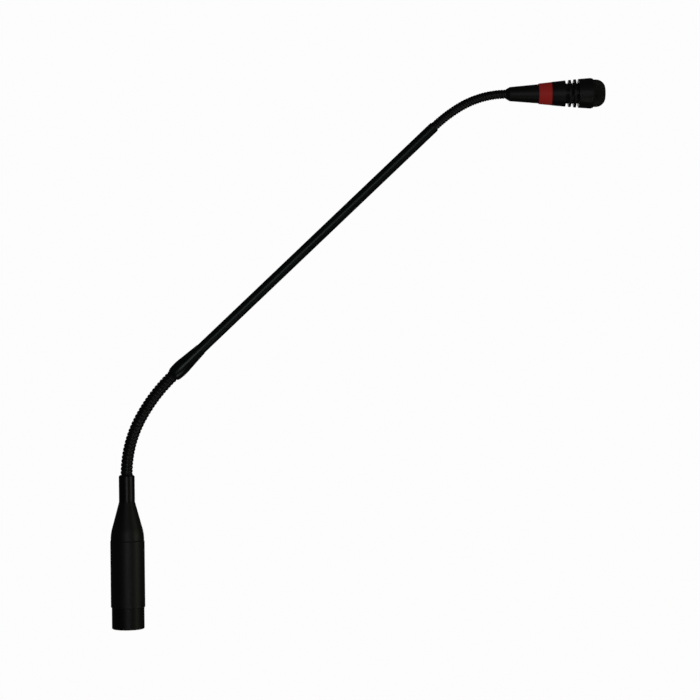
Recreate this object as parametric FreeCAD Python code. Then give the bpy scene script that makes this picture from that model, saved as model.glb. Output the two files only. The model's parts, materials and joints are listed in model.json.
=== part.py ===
"""Gooseneck podium microphone with a three-pin plug, an indicator ring and a rigid middle stem.

The frame is in millimetres, +Z up. The origin is the centre of the plug's end face, the plug's
axis is Z and the neck leans towards +X. Every piece is turned about, or lies along, one spine:
a plane line of straights and arcs that leaves the plug upwards and ends in the grille.
A station is a distance along that spine, and u is a distance along the head from its rear end.
"""

import FreeCAD
import Part
import math
import os

V = FreeCAD.Vector
Z = V(0, 0, 1)
FIT = 0.05  # radial gap between turned pieces that slip together

# Spine: (length, turn towards +X in degrees)
HOLDER_LENGTH = 90.0
LOWER_NECK_ARCS = [(34.5, 29.0), (31.5, 18.0)]
STEM_LENGTH = 211.0
UPPER_NECK_ARCS = [(18.0, 12.0), (29.0, 31.0)]
HEAD_LENGTH = 58.3

# Plug
SHELL_R = 9.5
SHELL_BORE_R = 8.2
SHELL_LENGTH = 12.5
SPIGOT_LENGTH = 8.0
MOUTH_CHAMFER = 0.4
LATCH_WINDOW = (5.0, 3.6)  # width, height
LATCH_WINDOW_Z = 4.3
KEY = (1.6, 0.9, 4.5)  # width, depth, height
INSERT_FACE_Z = 12.8
INSERT_THICKNESS = 5.2
PIN_R = 1.2
PIN_ROOT_R = 1.6  # the shoulder held in the insert
PIN_CIRCLE_R = 4.95
PIN_TIP_Z = 1.6
PIN_ANGLES = (180.0, 0.0, 270.0)
CUP_R = 1.35
CUP_BORE_R = 0.8
CUP_DEPTH = 3.0
CUP_END_Z = 23.5

# Handle
BARREL_R = 10.0
BARREL_BORE_R = 8.9
BARREL_TOP = 51.5
EDGE = 0.25  # small turned chamfer
COLLAR_TOP = 74.0
COLLAR_TOP_R = 4.7
COLLAR_SHOULDER_Z = 65.5
COLLAR_CAVITY_R = 6.1
COLLAR_MOUTH_R = 7.6
FERRULE_R = 4.65
FERRULE_TOP = 89.8
FERRULE_SHANK_R = 3.5
FERRULE_FOOT = 61.0
NUT_ACROSS_FLATS = 9.5
NUT_HEIGHT = 3.8
SCREW_Z = 16.2
SCREW_R = 1.0
SCREW_HEAD_R = 1.8
SCREW_HEAD_DEPTH = 0.9
SCREW_LENGTH = 4.4
SCREW_FACE_Y = BARREL_R - 0.15

# Preamplifier board
BOARD = (13.0, 1.2, 19.5)  # width, thickness, length
BOARD_FOOT = 26.0
CAPACITOR_R = 2.0
CAPACITOR_HEIGHT = 5.2
CHIP = (4.0, 1.5, 5.0)
RESISTOR = (1.2, 0.6, 2.0)
LEAD_R = 0.5

# Necks: each is a row of short rigid lengths of its two wires, hinged end to end.
# root_depth and tip_depth are how far its ends are held inside the pieces that carry them.
LOWER_NECK = {
    "hinges": 7, "crest_r": 3.6, "root_r": 3.0, "bore_r": 1.9,
    "pitch": 1.7, "cone_deg": 11.4, "root_depth": 10.0, "tip_depth": 6.0,
}
UPPER_NECK = {
    "hinges": 5, "crest_r": 2.7, "root_r": 2.25, "bore_r": 1.45,
    "pitch": 1.35, "cone_deg": 14.2, "root_depth": 2.2, "tip_depth": 6.0,
}
CREST_WIDTH = 0.7
HINGE_GAP = 0.05  # from a hinge to the ends of the lengths that meet there
CABLE_R = 1.1

# Stem
SLEEVE_LENGTH = 22.5
SLEEVE_R = 4.6
STEM_R = 3.1
STEM_BORE_R = 2.3
STEM_FOOT = 8.0  # the tube starts this far inside the sleeve
BUSH_BORE_R = 1.5
STEM_RIM = 3.0  # length of the upper bush's visible rim
BUSH_SPIGOT = 6.0

# Head, along u
REAR_CHAMFER = 2.3
GLAND_START = 6.0
REAR_R = (2.85, 4.15, 5.6)
RING_START = 19.1
RING_END = 26.8
RING_R = (6.0, 6.75)
RING_BORE_R = 4.9
RING_SPIGOT = 1.4
CORE_R = 3.35
CORE_BORE_R = 2.2
CORE_SPAN = (9.2, 31.0)
LED_BOARD_U = 22.4
LED_BOARD_R = 4.6
LED_BOARD_THICKNESS = 1.0
LED = (1.2, 1.6, 0.8)
LED_COUNT = 6
LED_CIRCLE_R = 3.98
BARREL_END = 42.5
FRONT_R = (6.85, 8.4)
PORT_GROOVES = [(35.6, 1.9), (38.7, 1.7), (41.6, 1.5)]  # centre u, width
GROOVE_FLOOR_R = 6.0
CHAMBER_R = 5.3
PORTS_PER_GROOVE = 6
PORT_WIDTH = 3.4
CLOTH_THICKNESS = 0.3
CAP_END = 50.9
CAP_R = (8.4, 8.9, 8.45)
CAP_CREST_U = 49.6
CAP_BORE_R = 7.5
CAPSULE_R = 4.85
CAPSULE_SPAN = (44.6, 51.1)
BOOT_SPAN = (43.6, 50.4)
FELT_THICKNESS = 0.3
GRILLE_FOOT = CAP_END - 0.8
FRONT_SAG = 0.35
DOME_THICKNESS = 0.5
FOAM_GAP = 0.15


SPINE = [(HOLDER_LENGTH, 0.0), *LOWER_NECK_ARCS, (STEM_LENGTH, 0.0), *UPPER_NECK_ARCS, (HEAD_LENGTH, 0.0)]
LOWER_START = HOLDER_LENGTH
LOWER_LENGTH = sum(length for length, _ in LOWER_NECK_ARCS)
STEM_START = LOWER_START + LOWER_LENGTH
UPPER_START = STEM_START + STEM_LENGTH
UPPER_LENGTH = sum(length for length, _ in UPPER_NECK_ARCS)
HEAD_START = UPPER_START + UPPER_LENGTH


def station(s):
    """The spine's point at station s and its angle from +Z towards +X, in degrees."""
    x, z, angle = 0.0, 0.0, 0.0
    for length, turn in SPINE:
        step = min(s, length)
        bend = math.radians(turn * step / length)
        chord = step if turn == 0 else 2 * step / bend * math.sin(bend / 2)
        x += chord * math.sin(angle + bend / 2)
        z += chord * math.cos(angle + bend / 2)
        angle += bend
        s -= step
        if s < 1e-9:
            break
    return V(x, 0, z), math.degrees(angle)


def spine_edges(start, end):
    """The spine's straights and arcs between two stations, as a list of edges."""
    edges = []
    at = 0.0
    for length, turn in SPINE:
        low, high = max(start, at), min(end, at + length)
        at += length
        if high - low < 1e-6:
            continue
        a, b, c = (station(s)[0] for s in (low, (low + high) / 2, high))
        edges.append(Part.Arc(a, b, c).toShape() if turn else Part.LineSegment(a, c).toShape())
    return edges


def on_spine(shape, s):
    """Moves a shape modelled along +Z from the origin to station s, turned along the spine."""
    point, angle = station(s)
    moved = shape.copy()
    moved.Placement = FreeCAD.Placement(point, FreeCAD.Rotation(V(0, 1, 0), angle)).multiply(moved.Placement)
    return moved


def on_stem(shape):
    """Places a shape whose z is its distance along the stem."""
    return on_spine(shape, STEM_START)


def on_head(shape):
    """Places a shape whose z is u, its distance along the head."""
    return on_spine(shape, HEAD_START)


def turned(*outline):
    """A solid of revolution about Z. Each item is a (radius, height) point, or (via, end) for an arc."""
    first = outline[0]
    edges = []
    here = V(first[0], 0, first[1])
    for item in outline[1:] + (first,):
        if isinstance(item[0], tuple):
            via, there = (V(r, 0, z) for r, z in item)
            edges.append(Part.Arc(here, via, there).toShape())
        else:
            there = V(item[0], 0, item[1])
            edges.append(Part.LineSegment(here, there).toShape())
        here = there
    face = Part.Face(Part.Wire(edges))
    return face.revolve(V(0, 0, 0), Z, 360)


def tube(outer, inner, low, high):
    """A plain tube along Z."""
    return rod(outer, low, high).cut(rod(inner, low - 1, high + 1))


def rod(radius, low, high):
    """A plain cylinder along Z."""
    return Part.makeCylinder(radius, high - low, V(0, 0, low), Z)


def block(size, centre):
    """A box of (x, y, z) size about a centre."""
    corner = V(*centre) - V(*size) * 0.5
    return Part.makeBox(size[0], size[1], size[2], corner)


def around(shape, count, start=0.0):
    """Copies of a shape, evenly turned about Z."""
    return [shape.copy().rotate(V(0, 0, 0), Z, start + 360.0 * i / count) for i in range(count)]


def swept(edges, radius):
    """A round tube along a chain of edges that starts along its first edge."""
    path = Part.Wire(edges)
    start = path.Edges[0]
    first = start.FirstParameter
    circle = Part.makeCircle(radius, start.valueAt(first), start.tangentAt(first))
    return path.makePipeShell([Part.Wire([circle])], True, True)


def lead(points, radius):
    """A wire through straight runs with one arc at each corner, as large as the runs allow."""
    points = [V(*p) for p in points]
    edges = []
    here = points[0]
    for before, corner, after in zip(points, points[1:], points[2:]):
        into, out = corner - before, after - corner
        back = 0.45 * min(into.Length, out.Length)
        into.normalize()
        out.normalize()
        start, end = corner - into * back, corner + out * back
        half_turn = into.getAngle(out) / 2
        inward = (out - into).normalize()
        arc_radius = back / math.tan(half_turn)
        middle = corner + inward * (arc_radius / math.cos(half_turn) - arc_radius)
        edges.append(Part.LineSegment(here, start).toShape())
        edges.append(Part.Arc(start, middle, end).toShape())
        here = end
    edges.append(Part.LineSegment(here, points[-1]).toShape())
    return swept(edges, radius)


# ---------------------------------------------------------------- plug and handle


def screw_axis(radius, low, high):
    """A cylinder along +Y at the insert screw's height."""
    return Part.makeCylinder(radius, high - low, V(0, low, SCREW_Z), V(0, 1, 0))


def countersink(small_r, large_r, height):
    """A cone along +Y at the insert screw's height, from the bottom of its head outwards."""
    bottom = V(0, SCREW_FACE_Y - SCREW_HEAD_DEPTH, SCREW_Z)
    return Part.makeCone(small_r, large_r, height, bottom, V(0, 1, 0))


def plug_shell():
    """The plug's metal mouth, with its latch window, its key and the spigot that enters the handle."""
    top = SHELL_LENGTH + SPIGOT_LENGTH
    spigot_r = BARREL_BORE_R - FIT
    shell = turned(
        (SHELL_BORE_R, MOUTH_CHAMFER),
        (SHELL_BORE_R + MOUTH_CHAMFER, 0),
        (SHELL_R - MOUTH_CHAMFER, 0),
        (SHELL_R, MOUTH_CHAMFER),
        (SHELL_R, SHELL_LENGTH),
        (spigot_r, SHELL_LENGTH),
        (spigot_r, top),
        (SHELL_BORE_R, top),
    )
    width, height = LATCH_WINDOW
    window = block((width, 4, height), (0, SHELL_R, LATCH_WINDOW_Z))
    key_width, key_depth, key_height = KEY
    key = block((key_width, key_depth * 2, key_height), (0, SHELL_BORE_R, INSERT_FACE_Z - key_height / 2))
    key = key.common(rod(SHELL_BORE_R + 0.3, 0, top))
    return shell.cut(window).fuse(key).cut(screw_axis(SCREW_R + FIT, 0, SHELL_R)).removeSplitter()


def contact_insert():
    """The insulating disc that carries the three contacts by their shoulders."""
    top = INSERT_FACE_Z + INSERT_THICKNESS
    disc = turned(
        (0, INSERT_FACE_Z),
        (SHELL_BORE_R - FIT - EDGE, INSERT_FACE_Z),
        (SHELL_BORE_R - FIT, INSERT_FACE_Z + EDGE),
        (SHELL_BORE_R - FIT, top),
        (0, top),
    )
    for angle in PIN_ANGLES:
        disc = disc.cut(at_pin(rod(PIN_ROOT_R + 0.01, 0, top + 1), angle))
    return disc.cut(screw_axis(SCREW_R + FIT, SHELL_R - SCREW_LENGTH - 0.3, SHELL_R))


def at_pin(shape, angle):
    """Moves a shape from the plug's axis to the pin circle."""
    turn = math.radians(angle)
    return shape.translated(V(PIN_CIRCLE_R * math.cos(turn), PIN_CIRCLE_R * math.sin(turn), 0))


def contact_pins():
    """The three round contacts, each with a domed tip and a solder cup behind the insert."""
    top = INSERT_FACE_Z + INSERT_THICKNESS
    slope = math.sin(math.radians(45))
    pin = turned(
        (0, PIN_TIP_Z),
        ((PIN_R * slope, PIN_TIP_Z + PIN_R * (1 - slope)), (PIN_R, PIN_TIP_Z + PIN_R)),
        (PIN_R, INSERT_FACE_Z),
        (PIN_ROOT_R, INSERT_FACE_Z),
        (PIN_ROOT_R, top),
        (CUP_R, top),
        (CUP_R, CUP_END_Z),
        (CUP_BORE_R, CUP_END_Z),
        (CUP_BORE_R, CUP_END_Z - CUP_DEPTH),
        (0, CUP_END_Z - CUP_DEPTH),
    )
    return Part.makeCompound([at_pin(pin, angle) for angle in PIN_ANGLES])


def insert_screw():
    """The countersunk screw that locks the insert and the plug shell in the handle."""
    screw = countersink(SCREW_R, SCREW_HEAD_R, SCREW_HEAD_DEPTH)
    screw = screw.fuse(screw_axis(SCREW_R, SCREW_FACE_Y - SCREW_LENGTH, SCREW_FACE_Y - SCREW_HEAD_DEPTH))
    for size in ((2.2, 0.8, 0.45), (0.45, 0.8, 2.2)):
        screw = screw.cut(block(size, (0, SCREW_FACE_Y, SCREW_Z)))
    return screw.removeSplitter()


def handle_barrel():
    """The handle's plain tube, with the countersink for the insert screw."""
    barrel = turned(
        (BARREL_BORE_R, SHELL_LENGTH),
        (BARREL_R - EDGE, SHELL_LENGTH),
        (BARREL_R, SHELL_LENGTH + EDGE),
        (BARREL_R, BARREL_TOP - EDGE),
        (BARREL_R - EDGE, BARREL_TOP),
        (BARREL_BORE_R, BARREL_TOP),
    )
    deeper = 0.4  # the seat opens past the barrel's surface
    seat = countersink(SCREW_R + FIT, SCREW_HEAD_R + FIT + deeper, SCREW_HEAD_DEPTH + deeper)
    return barrel.cut(seat).cut(screw_axis(SCREW_R + FIT, BARREL_BORE_R - 1, BARREL_R))


def tapered_collar():
    """The ogive between the handle and the neck, with a spigot below and a nut chamber inside."""
    spigot_r = BARREL_BORE_R - FIT
    foot = BARREL_TOP - 5.5
    step_z = BARREL_TOP + 6.5
    return turned(
        (COLLAR_MOUTH_R, foot),
        (spigot_r, foot),
        (spigot_r, BARREL_TOP),
        (BARREL_R - EDGE, BARREL_TOP),
        ((9.46, BARREL_TOP + 4.5), (8.5, BARREL_TOP + 8.5)),
        (COLLAR_TOP_R, COLLAR_TOP),
        (FERRULE_SHANK_R + FIT, COLLAR_TOP),
        (FERRULE_SHANK_R + FIT, COLLAR_SHOULDER_Z),
        (COLLAR_CAVITY_R, COLLAR_SHOULDER_Z),
        (COLLAR_CAVITY_R, step_z),
        (COLLAR_MOUTH_R, step_z),
    )


def neck_ferrule():
    """The socket that holds the lower neck's end, with a threaded shank through the collar."""
    socket_r = LOWER_NECK["crest_r"] + FIT
    return turned(
        (BUSH_BORE_R, FERRULE_FOOT),
        (FERRULE_SHANK_R, FERRULE_FOOT),
        (FERRULE_SHANK_R, COLLAR_TOP),
        (FERRULE_R, COLLAR_TOP),
        (FERRULE_R, FERRULE_TOP - 0.7),
        (FERRULE_R - 0.7, FERRULE_TOP),
        (socket_r, FERRULE_TOP),
        (socket_r, HOLDER_LENGTH - LOWER_NECK["root_depth"]),
        (BUSH_BORE_R, HOLDER_LENGTH - LOWER_NECK["root_depth"]),
    )


def collar_nut():
    """The hexagon nut that clamps the ferrule's shank under the collar's shoulder."""
    top = COLLAR_SHOULDER_Z
    corner_r = NUT_ACROSS_FLATS / math.sqrt(3)
    first = V(corner_r, 0, top - NUT_HEIGHT)
    corners = [FreeCAD.Rotation(Z, 60 * k).multVec(first) for k in range(6)]
    prism = Part.Face(Part.makePolygon([*corners, first])).extrude(V(0, 0, NUT_HEIGHT))
    return prism.cut(rod(FERRULE_SHANK_R + FIT, 0, top + 1))


# ---------------------------------------------------------------- preamplifier


def preamp_board():
    """The circuit board on edge in the handle."""
    width, thickness, length = BOARD
    return block((width, thickness, length), (0, 0, BOARD_FOOT + length / 2))


def board_capacitors():
    """Two electrolytic cans that stand off the board's rear face."""
    face = BOARD[1] / 2
    cans = []
    for x in (-2.9, 2.9):
        can = Part.makeCylinder(CAPACITOR_R, CAPACITOR_HEIGHT, V(x, face, 36.0), V(0, 1, 0))
        rim = [edge for edge in can.Edges if edge.Closed and edge.CenterOfMass.y > face + 1]
        cans.append(can.makeFillet(0.3, rim))
    return Part.makeCompound(cans)


def preamp_chip():
    """The amplifier chip on the board's front face."""
    return block(CHIP, (0, -BOARD[1] / 2 - CHIP[1] / 2, 37.5))


def board_resistors():
    """Small chip resistors in two rows beside the amplifier."""
    y = -BOARD[1] / 2 - RESISTOR[1] / 2
    places = [(x, y, z) for x in (-4.4, 4.4) for z in (33.5, 37.0, 40.5)]
    return Part.makeCompound([block(RESISTOR, place) for place in places])


def plug_leads():
    """Three short insulated wires from the solder cups to the board."""
    start = CUP_END_Z - CUP_DEPTH + 0.1
    side = BOARD[1] / 2 + LEAD_R + FIT
    leads = [
        lead([(x, 0, start), (x, 0, 23.7), (x, side, 25.6), (x, side, 28.5)], LEAD_R)
        for x in (-PIN_CIRCLE_R, PIN_CIRCLE_R)
    ]
    y = -PIN_CIRCLE_R
    leads.append(lead([(0, y, start), (0, y, 24.0), (0, -side, 28.0), (0, -side, 31.0)], LEAD_R))
    return Part.makeCompound(leads)


# ---------------------------------------------------------------- necks


def neck_length(neck, low_end, high_end, low_hinge=True, high_hinge=True):
    """A rigid length of a neck's two wires between two heights, coned where it meets a hinge."""
    slope = math.tan(math.radians(neck["cone_deg"]))

    def low(radius):
        return low_end + (HINGE_GAP + radius * slope if low_hinge else 0)

    def high(radius):
        return high_end - (HINGE_GAP + radius * slope if high_hinge else 0)

    root, crest, bore = neck["root_r"], neck["crest_r"], neck["bore_r"]
    pitch, half = neck["pitch"], CREST_WIDTH / 2
    middle = 0.0 if low_hinge and high_hinge else low(crest) + half if not high_hinge else high(crest) - half
    steps = int((high_end - low_end) / pitch) + 1
    ridges = [middle + pitch * k for k in range(-steps, steps + 1)]
    ridges = [z for z in ridges if low(crest) - 1e-6 <= z - half and z + half <= high(crest) + 1e-6]
    outline = [(bore, low(bore)), (root, low(root))]
    for z in ridges:
        if z != ridges[0]:
            outline.append((root, z - pitch / 2))
        outline += [(crest, z - half), (crest, z + half)]
    return turned(*outline, (root, high(root)), (bore, high(bore)))


def neck_nodes(name, neck, start, length):
    """All the rigid lengths of one neck: the held root, the links between hinges and the held tip."""
    spacing = length / neck["hinges"]
    half = spacing / 2
    link = neck_length(neck, -half, half)
    root = neck_length(neck, -neck["root_depth"], half, low_hinge=False)
    tip = neck_length(neck, -half, neck["tip_depth"], high_hinge=False)
    nodes = {f"{name}_neck_root": on_spine(root, start)}
    for k in range(1, neck["hinges"]):
        nodes[f"{name}_neck_link_{k:02d}"] = on_spine(link, start + k * spacing)
    nodes[f"{name}_neck_tip"] = on_spine(tip, start + length)
    return nodes


def cable_runs():
    """The signal cable in three runs, each up to the hinge where the next begins."""
    foot = BOARD_FOOT + BOARD[2]
    lower = STEM_START - LOWER_LENGTH / LOWER_NECK["hinges"] / 2
    upper = UPPER_START + UPPER_LENGTH / UPPER_NECK["hinges"] / 2
    end = HEAD_START + CORE_SPAN[1] - 1
    return {
        "cable_lower_run": swept(spine_edges(foot, lower), CABLE_R),
        "cable_stem_run": swept(spine_edges(lower, upper), CABLE_R),
        "cable_upper_run": swept(spine_edges(upper, end), CABLE_R),
    }


# ---------------------------------------------------------------- stem


def joint_sleeve():
    """The tapered sleeve that joins the lower neck to the stem tube."""
    neck_r = LOWER_NECK["crest_r"] + FIT
    return on_stem(
        turned(
            (neck_r, 0),
            (neck_r + 0.15, 0),
            (SLEEVE_R - 0.3, 1.3),
            ((SLEEVE_R, 5.0), (SLEEVE_R - 0.25, 10.0)),
            (STEM_R + 0.2, SLEEVE_LENGTH),
            (STEM_R + FIT, SLEEVE_LENGTH),
            (STEM_R + FIT, STEM_FOOT),
            (neck_r, STEM_FOOT),
        )
    )


def stem_lower_bush():
    """The brass bush between the lower neck's end and the tube, inside the sleeve."""
    step = STEM_FOOT
    low = LOWER_NECK["tip_depth"]
    return on_stem(
        turned(
            (BUSH_BORE_R, low),
            (LOWER_NECK["crest_r"], low),
            (LOWER_NECK["crest_r"], step),
            (STEM_BORE_R - FIT, step),
            (STEM_BORE_R - FIT, step + BUSH_SPIGOT),
            (BUSH_BORE_R, step + BUSH_SPIGOT),
        )
    )


def stem_tube():
    """The rigid middle tube."""
    return on_stem(tube(STEM_R, STEM_BORE_R, STEM_FOOT, STEM_LENGTH - STEM_RIM))


def stem_upper_bush():
    """The bush that closes the tube's upper end and holds the upper neck's root in its rim."""
    rim = STEM_LENGTH - STEM_RIM
    floor = STEM_LENGTH - UPPER_NECK["root_depth"]
    socket_r = UPPER_NECK["crest_r"] + FIT
    return on_stem(
        turned(
            (BUSH_BORE_R, rim - BUSH_SPIGOT),
            (STEM_BORE_R - FIT, rim - BUSH_SPIGOT),
            (STEM_BORE_R - FIT, rim),
            (STEM_R, rim),
            (STEM_R, STEM_LENGTH - EDGE),
            (STEM_R - EDGE, STEM_LENGTH),
            (socket_r, STEM_LENGTH),
            (socket_r, floor),
            (BUSH_BORE_R, floor),
        )
    )


# ---------------------------------------------------------------- head


def between(u, span, radii):
    """The radius at u on a straight taper."""
    share = (u - span[0]) / (span[1] - span[0])
    return radii[0] + share * (radii[1] - radii[0])


def head_rear_shell():
    """The slim tapered casing behind the indicator ring."""
    neck_r = UPPER_NECK["crest_r"] + FIT
    core_r = CORE_R + FIT
    return on_head(
        turned(
            (neck_r, 0),
            (REAR_R[0], 0),
            (REAR_R[1], REAR_CHAMFER),
            (REAR_R[2], RING_START),
            (RING_BORE_R - FIT, RING_START),
            (RING_BORE_R - FIT, RING_START + RING_SPIGOT),
            (core_r, RING_START + RING_SPIGOT),
            (core_r, GLAND_START),
            (neck_r, GLAND_START),
        )
    )


def head_gland():
    """The crimped bush behind the upper neck's end, inside the rear shell."""
    return on_head(tube(CORE_R, CABLE_R + 0.2, GLAND_START + FIT, CORE_SPAN[0]))


def head_core():
    """The threaded spine tube that pulls the rear shell, ring and front barrel together."""
    return on_head(tube(CORE_R, CORE_BORE_R, *CORE_SPAN))


def led_ring_lens():
    """The clear red ring."""
    bevel = 0.12
    return on_head(
        turned(
            (RING_BORE_R, RING_START),
            (RING_R[0] - bevel, RING_START),
            (RING_R[0], RING_START + bevel),
            (RING_R[1], RING_END - bevel),
            (RING_R[1] - bevel, RING_END),
            (RING_BORE_R, RING_END),
        )
    )


def led_board():
    """The annular board inside the ring."""
    return on_head(tube(LED_BOARD_R, CORE_R + FIT, LED_BOARD_U, LED_BOARD_U + LED_BOARD_THICKNESS))


def ring_leds():
    """The lamps on the annular board."""
    width, length, height = LED
    lamp = block((width, length, height), (LED_CIRCLE_R, 0, LED_BOARD_U + LED_BOARD_THICKNESS + height / 2))
    return on_head(Part.makeCompound(around(lamp, LED_COUNT)))


def front_radius(u):
    """The front barrel's outer radius at u."""
    return between(u, (RING_END, BARREL_END), FRONT_R)


def slotted_barrel():
    """The front barrel with its three sound grooves and the ports in their floors."""
    chamber_u = CORE_SPAN[1]
    spigot_r = RING_BORE_R - FIT
    outline = [(spigot_r, RING_END - RING_SPIGOT), (spigot_r, RING_END), (FRONT_R[0], RING_END)]
    for middle, width in PORT_GROOVES:
        low, high = middle - width / 2, middle + width / 2
        outline += [(front_radius(low), low), (GROOVE_FLOOR_R, low)]
        outline += [(GROOVE_FLOOR_R, high), (front_radius(high), high)]
    thread_end = BARREL_END + 3.5
    outline += [
        (FRONT_R[1], BARREL_END),
        (CAP_BORE_R - FIT, BARREL_END),
        (CAP_BORE_R - FIT, thread_end),
        (CAP_BORE_R - 1.0, thread_end),
        (CAP_BORE_R - 1.0, BOOT_SPAN[0]),
        (CHAMBER_R, BOOT_SPAN[0]),
        (CHAMBER_R, chamber_u),
        (CORE_R + FIT, chamber_u),
        (CORE_R + FIT, RING_END - RING_SPIGOT),
    ]
    barrel = turned(*outline)
    for index, (middle, width) in enumerate(PORT_GROOVES):
        port = block((4, PORT_WIDTH, width - 0.3), (CHAMBER_R + 0.3, 0, middle))
        barrel = barrel.cut(Part.makeCompound(around(port, PORTS_PER_GROOVE, 30.0 * (index % 2))))
    return on_head(barrel)


def port_cloth():
    """The acoustic cloth sleeve behind the ports."""
    outer = CHAMBER_R - FIT
    return on_head(tube(outer, outer - CLOTH_THICKNESS, 33.6, BOOT_SPAN[0] - 0.2))


def capsule_boot():
    """The rubber ring that holds the capsule in the front barrel."""
    outer = CAP_BORE_R - 1.0 - FIT
    return on_head(
        turned(
            (CAPSULE_R + FIT, BOOT_SPAN[0] + 1.0),
            (CAPSULE_R - 0.6, BOOT_SPAN[0] + 0.9),
            (CAPSULE_R - 0.6, BOOT_SPAN[0]),
            (outer, BOOT_SPAN[0]),
            (outer, BOOT_SPAN[1]),
            (CAPSULE_R + FIT, BOOT_SPAN[1]),
        )
    )


def capsule_can():
    """The electret capsule's closed can with its front sound hole."""
    low, high = CAPSULE_SPAN
    return on_head(
        turned(
            (0, low + 0.4),
            (CAPSULE_R - 0.7, low + 0.4),
            (CAPSULE_R - 0.7, low),
            (CAPSULE_R - 0.15, low),
            (CAPSULE_R, low + 0.3),
            (CAPSULE_R, high - 0.3),
            (CAPSULE_R - 0.3, high),
            (1.6, high),
            (1.6, high - 0.4),
            (0, high - 0.4),
        )
    )


def capsule_felt():
    """The thin dust cloth glued to the capsule's front."""
    return on_head(rod(CAPSULE_R - 0.5, CAPSULE_SPAN[1], CAPSULE_SPAN[1] + FELT_THICKNESS))


def capsule_leads():
    """Two thin wires from the cable's end to the back of the capsule."""
    start, end = CORE_SPAN[1] - 0.9, CAPSULE_SPAN[0] + 0.35
    wires = []
    for near, far in ((-0.55, -1.6), (0.55, 1.6)):
        route = [(0, near, start), (0, near, start + 4), (0, far, start + 9), (0, far, end)]
        wires.append(lead(route, 0.35))
    return on_head(Part.makeCompound(wires))


def grille_ring():
    """The screwed front ring that clamps the grille."""
    return on_head(
        turned(
            (CAP_BORE_R, BARREL_END),
            (CAP_R[0], BARREL_END),
            (CAP_R[1], CAP_CREST_U),
            (CAP_R[2], CAP_END),
            (CAP_R[2] - 0.35, CAP_END),
            (CAP_R[2] - 0.35, GRILLE_FOOT),
            (CAP_BORE_R, GRILLE_FOOT),
        )
    )


def crown(radius, top, sag):
    """A round cap's outline, from its edge to its middle on the axis, as an arc for turned()."""
    sphere_r = (radius**2 + sag**2) / (2 * sag)
    half = radius / 2
    return (half, top - sphere_r + math.sqrt(sphere_r**2 - half**2)), (0, top)


def dome_outline(inset):
    """The grille's outer line, from its rim to its front, moved inwards by inset."""
    rim_r = CAP_R[2] - 0.4 - inset
    shoulder = (7.25 - inset * 0.8, CAP_END + 4.6 - inset * 0.6)
    front_r = 4.4 - inset * 0.5
    front = HEAD_LENGTH - inset
    return [
        (rim_r, GRILLE_FOOT),
        (rim_r, CAP_END + 1.5),
        (shoulder, (front_r, front - FRONT_SAG)),
        crown(front_r, front, FRONT_SAG),
    ]


def grille_mesh():
    """The domed front grille, as a plain thin shell."""
    return on_head(dome(0).cut(dome(DOME_THICKNESS)))


def dome(inset):
    """The solid under the grille's line, moved inwards by inset."""
    return turned(*dome_outline(inset), (0, GRILLE_FOOT))


def grille_foam():
    """The foam pad behind the grille."""
    low = CAPSULE_SPAN[1] + FELT_THICKNESS + 0.1
    return on_head(dome(DOME_THICKNESS + FOAM_GAP).cut(rod(CAP_R[1], 0, low)))


def all_nodes():
    """Every node's name and shape."""
    nodes = {
        "plug_shell": plug_shell(),
        "contact_insert": contact_insert(),
        "contact_pins": contact_pins(),
        "insert_screw": insert_screw(),
        "handle_barrel": handle_barrel(),
        "tapered_collar": tapered_collar(),
        "neck_ferrule": neck_ferrule(),
        "collar_nut": collar_nut(),
        "preamp_board": preamp_board(),
        "board_capacitors": board_capacitors(),
        "preamp_chip": preamp_chip(),
        "board_resistors": board_resistors(),
        "plug_leads": plug_leads(),
        "joint_sleeve": joint_sleeve(),
        "stem_lower_bush": stem_lower_bush(),
        "stem_tube": stem_tube(),
        "stem_upper_bush": stem_upper_bush(),
        "head_rear_shell": head_rear_shell(),
        "head_gland": head_gland(),
        "head_core": head_core(),
        "led_ring_lens": led_ring_lens(),
        "led_board": led_board(),
        "ring_leds": ring_leds(),
        "slotted_barrel": slotted_barrel(),
        "port_cloth": port_cloth(),
        "capsule_boot": capsule_boot(),
        "capsule_can": capsule_can(),
        "capsule_felt": capsule_felt(),
        "capsule_leads": capsule_leads(),
        "grille_ring": grille_ring(),
        "grille_mesh": grille_mesh(),
        "grille_foam": grille_foam(),
    }
    nodes.update(neck_nodes("lower", LOWER_NECK, LOWER_START, LOWER_LENGTH))
    nodes.update(neck_nodes("upper", UPPER_NECK, UPPER_START, UPPER_LENGTH))
    nodes.update(cable_runs())
    return nodes


def main():
    """Writes one STEP file per node."""
    os.makedirs("parts", exist_ok=True)
    for name, shape in all_nodes().items():
        problem = "" if shape.isValid() and shape.Volume > 0 else "  NOT VALID"
        print(f"{name}: {len(shape.Solids)} solid(s), {shape.Volume:.1f} mm3{problem}")
        shape.exportStep(f"parts/{name}.step")


main()
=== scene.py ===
"""Finished looks of a gooseneck podium microphone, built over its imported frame.

Every piece is shaped in millimetres along its own +Z and then laid on the spine, the plane line
of straights and arcs that runs from the plug to the grille. Finished meshes are in metres.
"""

import json
import logging
import math
from collections.abc import Callable, Iterable, Sequence
from dataclasses import dataclass, field
from enum import Enum

import bmesh
import bpy
from mathutils import Matrix, Vector


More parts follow.
